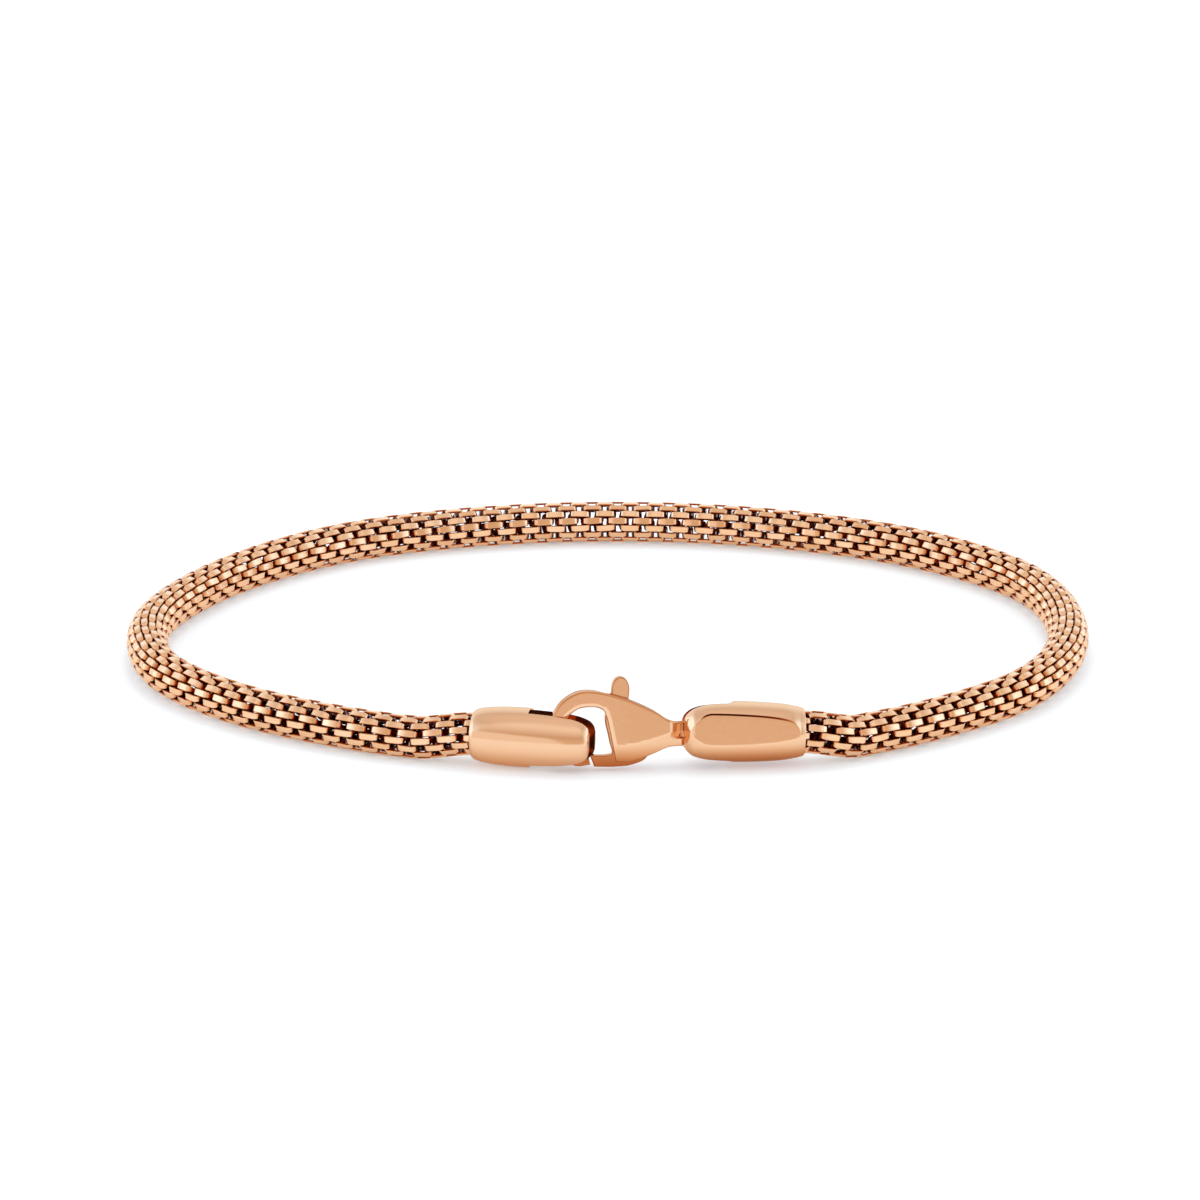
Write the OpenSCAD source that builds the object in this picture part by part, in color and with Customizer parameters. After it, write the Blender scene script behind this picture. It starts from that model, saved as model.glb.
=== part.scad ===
// Mesh bracelet: a hollow woven tube between two end caps, closed by a lobster clasp.
// Millimetres. The bracelet lies on the floor, z = 0, with the origin below the middle of its box.
// +X runs from the catch cap to the clasp cap, and the clasp is at the front, towards -Y.

/* [Loop] */
// Width of the whole bracelet, left to right
loop_w = 69.4; // [64:0.2:76]
// Depth of the whole bracelet, front to back
loop_d = 58; // [54:0.2:64]

/* [Woven tube] */
// Outside diameter of the woven tube
tube_d = 3.0; // [2.6:0.1:3.1]
// Depth of the weave, from the outer bricks to the inner bars
weave_t = 0.5; // [0.35:0.05:0.7]
// Length of tube held in each cap's socket
socket_depth = 1.5; // [1:0.1:2]
// Length over which the tube comes down from a cap to the floor
drop_len = 4.5; // [3.5:0.5:6]

/* [Caps] */
// Length of each cap
cap_len = 8.4; // [8.2:0.1:9.4]
// Thickest diameter of each cap
cap_d = 4.24; // [4.1:0.02:4.6]
// Width of the catch cap's slot, which the hook goes through
catch_slot_w = 2.0; // [1.9:0.05:2.2]
// Length of the catch cap's slot
catch_slot_len = 4.4; // [4.2:0.1:5]
// Distance of the catch pin from the cap's end
catch_pin_inset = 1.25; // [1.15:0.05:1.4]
// Length of the clasp cap's slot
clasp_slot_len = 3.6; // [3.2:0.1:4.2]
// Distance of the clasp pin from the cap's end
clasp_pin_inset = 1.6; // [1.5:0.05:1.9]
// Depth of the flat facet on the clasp cap's front
facet_cut = 0.26; // [0.1:0.02:0.4]
// Diameter of the two cross pins
pin_d = 0.8; // [0.6:0.05:0.9]

/* [Clasp] */
// Length of the clasp, from its pin to the far side of the hook
clasp_reach = 10.85; // [10.4:0.05:11.4]
// Height of the clasp's hook and body
clasp_h = 5.2; // [5:0.1:5.6]
// Thickness of the clasp's body
clasp_t = 2.2; // [2:0.05:2.5]
// Thickness of the tail eye
tail_t = 1.35; // [1.2:0.05:1.45]
// Diameter of the tail eye
eye_d = 1.9; // [1.7:0.05:2.1]
// Thickness of the lever
lever_t = 0.9; // [0.7:0.05:1]
// Height of the trigger above the body
trigger_h = 1.6; // [1.2:0.1:2]
// Diameter of the lever's rivet
rivet_d = 0.5; // [0.4:0.05:0.6]

/* [Pose on the floor] */
// Angle that the caps and the clasp lean back
lean = 10; // [0:1:14]
// Turn of the catch cap, its slotted end nearer the front
catch_yaw = 12; // [8:1:14]
// Turn of the clasp and its cap, the cap's mouth nearer the back
clasp_yaw = 5; // [3:1:6]
// Droop of the clasp cap towards its mouth
cap_droop = 2; // [0:0.5:3]
// Droop of the clasp towards its hook
hook_droop = 1.3; // [0:0.1:2]
// Place of the clasp pin to the right of the middle
clasp_pin_x = 6.8; // [6:0.1:8]
// Height of the clasp pin above the floor
clasp_pin_z = 2.5; // [2.3:0.05:2.8]
// Distance of the clasp pin from the front of the loop
clasp_pin_y = 2.75; // [2.6:0.05:3.4]

/* [Hidden] */

$fn = 64;
gold = "#e3a884";
dark_gold = "#b9744f";

// Clearances: fixed fits, turning fits, the lever between the clasp's walls, the tail in its slot
fit_gap = 0.02;
turn_gap = 0.04;
lever_gap = 0.05;
tail_gap = 0.075;
// Metal left in front of a pin that doesn't go through
blind_wall = 0.2;
// How far a cut reaches past a solid: a short way, and right through
past = 1;
over = 10;
// Length of tail that runs into the body
tail_overlap = 0.3;
// Longest step along the tube, along the clasp's outlines and round the trigger
ring_gap = 2.4;
outline_gap = 0.3;
trigger_gap = 0.15;

tube_r = tube_d / 2;
cap_r = cap_d / 2;
clasp_slot_w = tail_t + 2 * tail_gap;
pin_front = -cap_r + facet_cut + blind_wall;
rivet_front = -clasp_t / 2 + blind_wall;

// Cap outlines turned round the axis: share of the length from the mouth, share of the radius
CATCH_PROFILE = [[0, 0.78], [0.02, 0.84], [0.07, 0.895], [0.16, 0.945], [0.30, 0.98], [0.45, 0.985],
                 [0.60, 0.97], [0.75, 0.935], [0.87, 0.87], [0.94, 0.79], [0.98, 0.69], [1, 0.56]];
CLASP_PROFILE = [[0, 0.79], [0.03, 0.83], [0.08, 0.87], [0.16, 0.925], [0.30, 0.97], [0.50, 1],
                 [0.70, 1], [0.84, 0.945], [0.91, 0.87], [0.96, 0.755], [0.99, 0.63], [1, 0.54]];

// The tube's route in plan, from the catch cap round the back to the clasp cap:
// share of the half width, share of the half depth
LOOP_POINTS = [[-0.445, -0.875], [-0.615, -0.770], [-0.790, -0.610], [-0.955, -0.335], [-0.995, 0.030],
               [-0.880, 0.410], [-0.600, 0.790], [-0.145, 0.985], [0.355, 0.940], [0.735, 0.705],
               [0.935, 0.400], [0.995, 0.100], [0.980, -0.210], [0.885, -0.495], [0.735, -0.695],
               [0.585, -0.835]];

// Clasp outlines seen from the front, with the clasp pin at the origin and the hook to the left:
// share of the reach, share of the height. The outside runs from the hook's tip over the arch.
HOOK_OUTSIDE = [[-0.755, -0.358], [-0.842, -0.373], [-0.922, -0.288], [-0.979, -0.125], [-1, 0.087],
                [-0.986, 0.300], [-0.936, 0.455], [-0.865, 0.558], [-0.793, 0.607], [-0.728, 0.607],
                [-0.658, 0.585], [-0.499, 0.490], [-0.409, 0.405], [-0.313, 0.300], [-0.240, 0.200],
                [-0.203, 0.172], [-0.147, 0.165]];
BODY_BELOW = [[-0.150, -0.173], [-0.203, -0.169], [-0.240, -0.173], [-0.332, -0.240], [-0.417, -0.300],
              [-0.513, -0.346], [-0.582, -0.354]];
HOOK_INSIDE = [[-0.608, -0.298], [-0.622, -0.110], [-0.646, 0.240], [-0.658, 0.345], [-0.690, 0.400],
               [-0.737, 0.412], [-0.802, 0.402], [-0.867, 0.325], [-0.907, 0.235], [-0.920, 0.090],
               [-0.903, -0.077], [-0.857, -0.212], [-0.777, -0.269]];
// Clasp thickness seen from above: share of the reach, share of the body's thickness
CLASP_PLAN = [[-1.01, 0.42], [-0.90, 0.45], [-0.76, 0.50], [-0.66, 0.62], [-0.57, 0.84], [-0.48, 0.97],
              [-0.38, 1], [-0.29, 0.92], [-0.226, 0.80]];
// Where the clasp's body ends and its thinner tail begins, share of the reach, and the tail's
// lower and upper edge there, shares of the height
NECK = -0.226;
NECK_BELOW = -0.169;
NECK_ABOVE = 0.172;

// Top of the body below the trigger, share of the height
BODY_TOP = 0.490;

// The lever's pivot and its outline with the gate closed, as shares like those of the clasp.
// The trigger's heights are shares of its own height above the body.
PIVOT = [-0.424, 0.067];
LEVER_TRIGGER = [[-0.601, 0.28], [-0.590, 0.70], [-0.572, 0.90], [-0.538, 1], [-0.504, 0.90],
                 [-0.486, 0.67], [-0.490, 0.03]];
LEVER_BACK = [[-0.440, 0.230], [-0.362, 0.130], [-0.345, 0], [-0.356, -0.180], [-0.396, -0.317],
              [-0.482, -0.390], [-0.601, -0.408], [-0.728, -0.394]];
LEVER_FRONT = [[-0.752, -0.237], [-0.650, -0.250], [-0.612, -0.240], [-0.620, -0.100],
               [-0.646, 0.250], [-0.612, 0.400]];
// The pocket for the lever between the clasp's two walls
POCKET = [[-0.70, -0.70], [-0.70, 0.30], [-0.612, 0.42], [-0.612, 1.2], [-0.345, 1.2], [-0.315, 0.25],
          [-0.290, -0.05], [-0.290, -0.70]];
// Distance of the catch pin from the clasp pin, share of the reach
CATCH_PIN = -0.845;

// Slope of a smooth curve at an inner point, from its two neighbours
function slope(p, i) =
    let(before = norm(p[i] - p[i - 1]), after = norm(p[i + 1] - p[i]))
    ((p[i] - p[i - 1]) * after / before + (p[i + 1] - p[i]) * before / after) / (before + after);

// Point at share t of the stretch from a to b, with the slopes m and n at its ends
function stretch(a, b, m, n, t) =
    let(h = norm(b - a))
    (2 * t^3 - 3 * t^2 + 1) * a + (t^3 - 2 * t^2 + t) * h * m
    + (3 * t^2 - 2 * t^3) * b + (t^3 - t^2) * h * n;

// Smooth curve through points, with a point every gap or less; first and last are its end slopes
function smooth(p, gap, first, last) =
    [for (i = [0 : len(p) - 2])
        let(m = i == 0 ? first : slope(p, i),
            n = i == len(p) - 2 ? last : slope(p, i + 1),
            steps = ceil(norm(p[i + 1] - p[i]) / gap))
        for (k = [0 : steps - 1]) stretch(p[i], p[i + 1], m, n, k / steps),
     p[len(p) - 1]];

// The same with straight slopes at its ends
function smooth_open(p, gap) =
    let(n = len(p) - 1)
    smooth(p, gap, (p[1] - p[0]) / norm(p[1] - p[0]), (p[n] - p[n - 1]) / norm(p[n] - p[n - 1]));

// Distance run along a curve at each of its points
function runs(p, i = 0, s = 0) =
    i == len(p) - 1 ? [s] : concat([s], runs(p, i + 1, s + norm(p[i + 1] - p[i])));

function ease(x) = let(t = min(max(x, 0), 1)) t * t * (3 - 2 * t);
function unit(v) = v / norm(v);

// A turn about Z, after a lean back about X, after a droop about Y: where the local point v goes
function turned(v, yaw, back, droop) =
    let(a = [v.x * cos(droop) + v.z * sin(droop), v.y, -v.x * sin(droop) + v.z * cos(droop)],
        b = [a.x, a.y * cos(back) + a.z * sin(back), -a.y * sin(back) + a.z * cos(back)])
    [b.x * cos(yaw) - b.y * sin(yaw), b.x * sin(yaw) + b.y * cos(yaw), b.z];

clasp_pin_at = [clasp_pin_x, -loop_d / 2 + clasp_pin_y, clasp_pin_z];
catch_axis_z = cap_r * max([for (p = CATCH_PROFILE) p[1]]);
// The catch pin lies in the clasp's plane, at the height of the catch cap's axis
clasp_left = turned([CATCH_PIN * clasp_reach, 0, 0], clasp_yaw, lean, -hook_droop);
clasp_up = turned([0, 0, 1], clasp_yaw, lean, -hook_droop);
catch_pin_at = clasp_pin_at + clasp_left
               + clasp_up * (catch_axis_z - clasp_pin_z - clasp_left.z) / clasp_up.z;
catch_along = turned([1, 0, 0], -catch_yaw, lean, 0);
clasp_along = turned([1, 0, 0], clasp_yaw, lean, cap_droop);
catch_mouth = catch_pin_at - catch_along * (cap_len - catch_pin_inset);
clasp_mouth = clasp_pin_at + clasp_along * (cap_len - clasp_pin_inset);

half_w = loop_w / 2 - tube_r;
half_d = loop_d / 2 - tube_r;

// The tube's centre line: the route in plan, raised to the caps' axes near its two ends
plan = smooth([[catch_mouth.x, catch_mouth.y], each [for (p = LOOP_POINTS) [p.x * half_w, p.y * half_d]],
               [clasp_mouth.x, clasp_mouth.y]],
              ring_gap, unit(-[catch_along.x, catch_along.y]), unit(-[clasp_along.x, clasp_along.y]));
run = runs(plan);
run_all = run[len(run) - 1];
line = [catch_mouth + catch_along * socket_depth,
        for (i = [0 : len(plan) - 1])
            [plan[i].x, plan[i].y,
             tube_r + (catch_mouth.z - tube_r) * (1 - ease(run[i] / drop_len))
                    + (clasp_mouth.z - tube_r) * (1 - ease((run_all - run[i]) / drop_len))],
        clasp_mouth - clasp_along * socket_depth];

// Direction of the centre line at point i
function along(i) = unit(line[min(i + 1, len(line) - 1)] - line[max(i - 1, 0)]);

// Ring of points round the centre line at point i
function ring(i, r, sides) =
    let(t = along(i), side = unit(cross(t, [0, 0, 1])), up = cross(side, t))
    [for (k = [0 : sides - 1]) line[i] + r * (cos(360 * k / sides) * side + sin(360 * k / sides) * up)];

// Hollow tube swept along the centre line, with flat ring ends
module mesh_tube(sides = 16) {
    rings = len(line);
    points = [for (r = [tube_r, tube_r - weave_t]) for (i = [0 : rings - 1]) each ring(i, r, sides)];
    inner = rings * sides;
    last = (rings - 1) * sides;
    faces = [for (k = [0 : sides - 1])
                let(n = (k + 1) % sides)
                each [[k, n, inner + n, inner + k],
                      [last + k, inner + last + k, inner + last + n, last + n]],
             for (i = [0 : rings - 2]) for (k = [0 : sides - 1])
                let(n = (k + 1) % sides, a = i * sides, b = a + sides)
                each [[a + k, b + k, b + n], [a + k, b + n, a + n],
                      [inner + a + k, inner + b + n, inner + b + k],
                      [inner + a + k, inner + a + n, inner + b + n]]];
    color(dark_gold) polyhedron(points, faces, convexity = 8);
}

// Solid of a cap: its outline turned round X, from the mouth at 0 to the slotted end at cap_len
module cap_solid(profile) {
    rotate([0, 90, 0])
        rotate_extrude()
            polygon([[0, 0], each [for (p = profile) [p[1] * cap_r, p[0] * cap_len]], [0, cap_len]]);
}

// What every cap is cut by: the tube's socket, and the slot over its whole height
module cap_cuts(slot_w, slot_len) {
    translate([-past, 0, 0]) rotate([0, 90, 0])
        cylinder(d = tube_d + 2 * fit_gap, h = socket_depth + past + fit_gap);
    translate([cap_len - slot_len, -slot_w / 2, -over / 2]) cube([over, slot_w, over]);
}

// Blind hole for a cross pin, open at the back
module pin_hole(inset, d) {
    translate([cap_len - inset, pin_front, 0]) rotate([-90, 0, 0]) cylinder(d = d, h = over);
}

// Cross pin, flush with the cap's back
module cross_pin(profile, inset) {
    intersection() {
        translate([cap_len - inset, pin_front + fit_gap, 0])
            rotate([-90, 0, 0]) cylinder(d = pin_d, h = over);
        cap_solid(profile);
    }
}

// Places a cap's own frame: mouth at the origin, slotted end along +X, back at +Y
module at_catch_cap() {
    translate(catch_mouth) rotate([0, 0, -catch_yaw]) rotate([-lean, 0, 0]) children();
}

module at_clasp_cap() {
    translate(clasp_mouth) rotate([0, 0, clasp_yaw]) rotate([-lean, 0, 0]) rotate([0, cap_droop, 0])
        mirror([1, 0, 0]) children();
}

// Clasp's own frame: its pin at the origin, the hook along -X, the back at +Y
module at_clasp() {
    translate(clasp_pin_at) rotate([0, 0, clasp_yaw]) rotate([-lean, 0, 0]) rotate([0, -hook_droop, 0])
        children();
}

module catch_cap() {
    color(gold) at_catch_cap()
        difference() {
            cap_solid(CATCH_PROFILE);
            cap_cuts(catch_slot_w, catch_slot_len);
            pin_hole(catch_pin_inset, pin_d + 2 * fit_gap);
        }
}

module catch_pin() {
    color(dark_gold) at_catch_cap() cross_pin(CATCH_PROFILE, catch_pin_inset);
}

module clasp_cap() {
    color(gold) at_clasp_cap()
        difference() {
            cap_solid(CLASP_PROFILE);
            cap_cuts(clasp_slot_w, clasp_slot_len);
            pin_hole(clasp_pin_inset, pin_d + 2 * fit_gap);
            translate([-past, -cap_r + facet_cut - over, -over / 2]) cube([cap_len + 2 * past, over, over]);
        }
}

module clasp_pin() {
    color(dark_gold) at_clasp_cap() cross_pin(CLASP_PROFILE, clasp_pin_inset);
}

// Shares of the clasp's reach and height made into sizes
function sized(p) = [for (q = p) [q.x * clasp_reach, q.y * clasp_h]];

// Plate in the clasp's plane, half of it on each side
module plate(t) {
    rotate([90, 0, 0]) linear_extrude(t, center = true) children();
}

// Outline of hook and body in one, with the tail running into the eye
module clasp_outline() {
    polygon([each smooth_open(sized(HOOK_OUTSIDE), outline_gap),
             each smooth_open(sized(BODY_BELOW), outline_gap),
             each smooth_open(sized(HOOK_INSIDE), outline_gap)]);
}

module tail_outline() {
    circle(d = eye_d);
    neck_x = NECK * clasp_reach - tail_overlap;
    polygon([[neck_x, NECK_BELOW * clasp_h], [0, -eye_d / 2], [0, eye_d / 2],
             [neck_x, NECK_ABOVE * clasp_h]]);
}

module clasp_body() {
    plan_edge = [for (p = CLASP_PLAN) [p.x * clasp_reach, p.y * clasp_t / 2]];
    color(gold) at_clasp()
        difference() {
            union() {
                intersection() {
                    plate(clasp_t) clasp_outline();
                    linear_extrude(over * 2, center = true)
                        polygon([each plan_edge,
                                 for (i = [len(plan_edge) - 1 : -1 : 0]) [plan_edge[i].x, -plan_edge[i].y]]);
                }
                plate(tail_t) tail_outline();
            }
            rotate([90, 0, 0]) cylinder(d = pin_d + 2 * turn_gap, h = over, center = true);
            plate(lever_t + 2 * lever_gap) polygon(sized(POCKET));
            translate([PIVOT.x * clasp_reach, rivet_front, PIVOT.y * clasp_h])
                rotate([-90, 0, 0]) cylinder(d = rivet_d + 2 * fit_gap, h = over);
        }
}

module clasp_lever() {
    trigger = [for (p = LEVER_TRIGGER) [p.x * clasp_reach, BODY_TOP * clasp_h + p.y * trigger_h]];
    color(gold) at_clasp()
        difference() {
            plate(lever_t)
                polygon([each smooth_open(trigger, trigger_gap),
                         each smooth_open(sized(LEVER_BACK), outline_gap),
                         each smooth_open(sized(LEVER_FRONT), outline_gap)]);
            translate([PIVOT.x * clasp_reach, 0, PIVOT.y * clasp_h]) rotate([90, 0, 0])
                cylinder(d = rivet_d + 2 * turn_gap, h = over, center = true);
        }
}

module lever_rivet() {
    color(dark_gold) at_clasp()
        translate([PIVOT.x * clasp_reach, rivet_front + fit_gap, PIVOT.y * clasp_h])
            rotate([-90, 0, 0]) cylinder(d = rivet_d, h = clasp_t - blind_wall - 2 * fit_gap);
}

mesh_tube();
catch_cap();
catch_pin();
clasp_cap();
clasp_pin();
clasp_body();
clasp_lever();
lever_rivet();
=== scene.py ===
"""Mesh bracelet in polished rose gold, lying on a white floor.

Sizes are millimetres in the part's own frame (x right, y back, z up) and become metres when a
mesh is made. Each surface is a function of two parameters, worked out as whole arrays.
"""
import math

import bmesh
import bpy
import numpy as np
from mathutils import Matrix


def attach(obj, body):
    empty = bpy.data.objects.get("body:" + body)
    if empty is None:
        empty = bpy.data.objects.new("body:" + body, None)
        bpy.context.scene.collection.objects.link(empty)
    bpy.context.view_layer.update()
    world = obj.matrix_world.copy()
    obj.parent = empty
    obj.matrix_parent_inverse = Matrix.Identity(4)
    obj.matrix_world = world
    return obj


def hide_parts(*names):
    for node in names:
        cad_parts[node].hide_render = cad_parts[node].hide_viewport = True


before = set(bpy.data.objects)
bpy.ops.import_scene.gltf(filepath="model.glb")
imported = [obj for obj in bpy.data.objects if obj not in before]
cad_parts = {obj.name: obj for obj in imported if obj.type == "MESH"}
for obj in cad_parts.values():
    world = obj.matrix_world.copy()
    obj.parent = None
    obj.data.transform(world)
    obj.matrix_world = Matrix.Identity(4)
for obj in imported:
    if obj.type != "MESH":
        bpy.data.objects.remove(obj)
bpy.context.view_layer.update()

MM = 0.001
# Places along a cap that are nearer than this are the same one
SAME_PLACE = 1e-6
# Points nearer than this are welded into one
WELD = 0.004
# Edges sharper than this many degrees stay sharp: those of the cast pieces, and of the wire
SHARP = 38.0
WIRE_SHARP = 33.0
# Spacing of the points on the rope's route, and on the smooth curve through a table of shares
ROUTE_STEP = 0.1
TABLE_STEP = 0.004

# The loop and the woven tube
LOOP_W = 69.4
LOOP_D = 58.0
TUBE_R = 1.5
SOCKET_DEPTH = 1.5
DROP_LEN = 4.5

# The two end caps
CAP_LEN = 8.4
CAP_R = 2.12
CATCH_SLOT_W = 2.0
CATCH_SLOT_LEN = 4.4
CATCH_PIN_INSET = 1.25
CLASP_SLOT_W = 1.5
CLASP_SLOT_LEN = 3.05
CLASP_PIN_INSET = 1.6
BORE_R = 1.54
# How far the lip stands out at the mouth, its chamfer at the bore, and the bevel of sharp edges
LIP_OUT = 0.035
BORE_CHAMFER = 0.03
CAP_BEVEL = 0.05

# The clasp
CLASP_REACH = 10.85
CLASP_H = 5.2
CLASP_T = 2.2
PIN_HOLE_R = 0.44
PIN_HOLE_HALF = 2.0
LEVER_T = 0.9
LEVER_GAP = 0.05
LEVER_ROUND = 0.08
TRIGGER_H = 1.6

# How the caps and the clasp lie
LEAN = 10.0
CATCH_YAW = -12.0
CLASP_YAW = 5.0
CAP_DROOP = 2.0
HOOK_DROOP = -1.3
CLASP_PIN = np.array([6.8, -26.25, 2.5])
CATCH_PIN_SHARE = -0.845

# The route in plan, from the catch cap round the back to the clasp cap: shares of the half sizes
LOOP_POINTS = np.array([
    [-0.445, -0.875], [-0.615, -0.770], [-0.790, -0.610], [-0.955, -0.335], [-0.995, 0.030],
    [-0.880, 0.410], [-0.600, 0.790], [-0.145, 0.985], [0.355, 0.940], [0.735, 0.705],
    [0.935, 0.400], [0.995, 0.100], [0.980, -0.210], [0.885, -0.495], [0.735, -0.695],
    [0.585, -0.835]])

# Cap outlines: share of the length from the mouth, share of the radius
CATCH_PROFILE = np.array([
    [0, 0.78], [0.02, 0.84], [0.07, 0.895], [0.16, 0.945], [0.30, 0.98], [0.45, 0.985],
    [0.60, 0.97], [0.75, 0.935], [0.87, 0.87], [0.94, 0.79], [0.98, 0.69], [1, 0.56]])
CLASP_PROFILE = np.array([
    [0, 0.79], [0.03, 0.83], [0.08, 0.87], [0.16, 0.925], [0.30, 0.97], [0.50, 1],
    [0.70, 1], [0.84, 0.945], [0.91, 0.87], [0.96, 0.755], [0.99, 0.63], [1, 0.54]])
# The clasp cap's flat facet: distance from the axis, the width of its soft edge, and then its
# height above and below the middle along the cap
FACET_Y = 1.80
FACET_EDGE = 0.17
FACET = np.array([
    [0.035, 0.0, 0.0], [0.060, 0.52, 0.18], [0.130, 0.99, 0.42], [0.226, 1.16, 0.57],
    [0.328, 1.26, 0.68], [0.546, 1.37, 0.83], [0.716, 1.41, 0.86], [0.783, 1.41, 0.85],
    [0.826, 1.32, 0.79], [0.864, 1.10, 0.65], [0.902, 0.78, 0.45], [0.938, 0.42, 0.23],
    [0.965, 0.0, 0.0]])
# Share of the soft edge below the facet's corner, and the most of the facet's height it takes
EDGE_BELOW = 0.6
EDGE_MOST = 0.5
# Along its upper edge a fine dark line is painted, a painted reflection: share of the length, how
# dark
FACET_PAINTED_LINE = np.array([[0.08, 0.0], [0.22, 0.7], [0.50, 1.0], [0.83, 1.0], [0.87, 0.0]])
# A small flat on the end of each of its cheeks: how far out, and its turn from the front
END_FLAT = 1.02
END_FLAT_TURN = 60.0
# How much lower its rear cheek is
REAR_DROP = 0.16
# How far before its slot that begins, and its crown begins to flatten
CROWN_EASE = 0.6
# Rings of a cap, points of a quarter's arc, soft edge and flat, strips of the slot, and points
# down its walls
CAP_RINGS = 61
ARC_POINTS = 18
BLEND_POINTS = 4
FLAT_POINTS = 8
SLOT_STRIPS = 5
WALL_POINTS = 14

# Painted shade, as a share of the darkest, on the slots' and the pocket's walls, the flats on
# the cheeks' ends (there a painted reflection of the gold beside them), the neck's recess, the rims
# of the clasp and the lever, and the clasp's inner edges
SLOT_PAINTED_SHADE = 0.05
END_FLAT_PAINTED_REFLECTION = 0.10
RECESS_PAINTED_SHADE = 0.2
RIM_PAINTED_SHADE = 0.16
EDGE_PAINTED_SHADE = 0.5

# The weave
COLUMNS = 16
ROW_GAP = 0.955
# One link of a row: an arched strip and the bar to the next strip. Distance along the rope, turn
# round it in columns, distance from its axis, fold of the wire inwards, its turn sideways, width,
# thickness, and its share of painted shade, for the shade inside the tube
LINK = np.array([
    [-0.695, 0.00, 1.090, -84, 0, 0.36, 0.15, 0.6],
    [-0.668, 0.00, 1.225, -62, 0, 0.42, 0.15, 0.1],
    [-0.580, 0.00, 1.338, -40, 0, 0.455, 0.15, 0.0],
    [-0.410, 0.00, 1.415, -12, 0, 0.465, 0.15, 0.0],
    [0.410, 0.00, 1.415, 12, 0, 0.465, 0.15, 0.0],
    [0.580, 0.00, 1.338, 40, 0, 0.455, 0.15, 0.0],
    [0.668, 0.00, 1.225, 62, 0, 0.42, 0.15, 0.1],
    [0.695, 0.00, 1.090, 84, 0, 0.36, 0.15, 0.6],
    [0.715, 0.26, 1.010, 90, 45, 0.36, 0.24, 0.9],
    [0.715, 0.64, 0.980, 90, 90, 0.42, 0.26, 1.0],
    [0.715, 1.36, 0.980, 90, 90, 0.42, 0.26, 1.0],
    [0.715, 1.74, 1.010, 90, 135, 0.36, 0.24, 0.9]])
# The wire's section: shares of the half width and half thickness, the outer face first, and each
# corner's share of painted shade, which is darkest on the inner side
WIRE = np.array([[-0.82, 1.0], [0.82, 1.0], [1.0, 0.45], [1.04, -1.0], [-1.04, -1.0], [-1.0, 0.45]])
WIRE_PAINTED_SHADE = np.array([0, 0, 0.25, 1, 1, 0.25])
# Slow twist of the weave: share of the rope's length, degrees
TWIST = np.array([[0, -5.5], [0.10, -1], [0.25, 11], [0.5, 20], [0.65, 15], [0.80, 6], [1, -6]])
# How far the rope's inner side has slipped along it against its outer side: share of the rope's
# length, millimetres
SLIP = np.array([[0, 0.12], [0.06, 0.3], [0.35, 0.3], [0.43, 0.0], [0.57, 0.0], [0.65, -0.3],
                 [0.82, -0.3], [0.92, -0.42], [1, -0.3]])
# A link's own small turn, in degrees for each millimetre of its length, and its own small shift
LINK_TILT = 1.1
LINK_SHIFT = 0.012
# How far the wire's grain runs on from strip to strip, from row to row, and round the wire
GRAIN_STRIP = 7.3
GRAIN_ROW = 1.7
GRAIN_ROUND = 1.4
# Seeds of the random draws for its two halves
LEFT_SEED = 11
RIGHT_SEED = 12

# The clasp from the front, one row for each line across it: inner x and z, outer x and z, as
# shares of the reach and the height. From the hook's tip over the arch to the neck.
SPOKES = np.array([
    [-0.762, -0.272, -0.755, -0.358], [-0.812, -0.255, -0.842, -0.373],
    [-0.857, -0.212, -0.922, -0.288], [-0.903, -0.077, -0.979, -0.125],
    [-0.920, 0.090, -1.000, 0.087], [-0.907, 0.235, -0.986, 0.300],
    [-0.867, 0.325, -0.936, 0.470], [-0.802, 0.402, -0.865, 0.577],
    [-0.737, 0.412, -0.793, 0.628], [-0.690, 0.400, -0.728, 0.628],
    [-0.651, 0.345, -0.670, 0.610], [-0.634, 0.240, -0.625, 0.588],
    [-0.620, 0.065, -0.583, 0.565], [-0.607, -0.110, -0.545, 0.538],
    [-0.588, -0.340, -0.499, 0.505]])
SPOKES_BODY = np.array([
    [-0.588, -0.340, -0.499, 0.505], [-0.513, -0.346, -0.450, 0.458],
    [-0.417, -0.300, -0.385, 0.390], [-0.332, -0.240, -0.313, 0.306],
    [-0.240, -0.173, -0.240, 0.200], [-0.203, -0.169, -0.203, 0.172],
    [-0.150, -0.173, -0.150, 0.168], [-0.030, -0.181, -0.030, 0.181],
    [0.040, -0.150, 0.040, 0.150], [0.075, -0.085, 0.075, 0.085]])
# Clasp thickness seen from above: share of the reach, share of the body's thickness
CLASP_PLAN = np.array([
    [-1.01, 0.50], [-0.90, 0.53], [-0.80, 0.60], [-0.70, 0.71], [-0.60, 0.84], [-0.52, 0.94],
    [-0.46, 0.985], [-0.40, 0.985], [-0.30, 0.945], [-0.237, 0.91]])
# From the neck on: along the part below the recess, and in the recess itself
NECK_BELOW = np.array([[-0.237, 0.91], [-0.163, 0.86], [-0.157, 0.61], [0.1, 0.61]])
NECK_RECESS = np.array([[-0.237, 0.91], [-0.168, 0.57], [-0.13, 0.55], [0.1, 0.55]])
# The height where the recess begins, and how far above it the recess is whole
RECESS_FROM = -0.34
RECESS_RISE = 0.14
# The crease below the clasp's flat front, x and z, and how fast the face below it falls back
CREASE = np.array([[-6.6, -0.82], [-6.28, -0.76], [-5.1, -0.60], [-4.07, -0.385], [-3.2, -0.12],
                   [-2.4, 0.15], [1.0, 0.18]])
CREASE_SLOPE = 0.30
# Where that fall begins and where it ends, x and the length that each takes
CREASE_START = (CLASP_REACH * -0.66, 0.4)
CREASE_END = (-1.75, 0.3)
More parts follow.
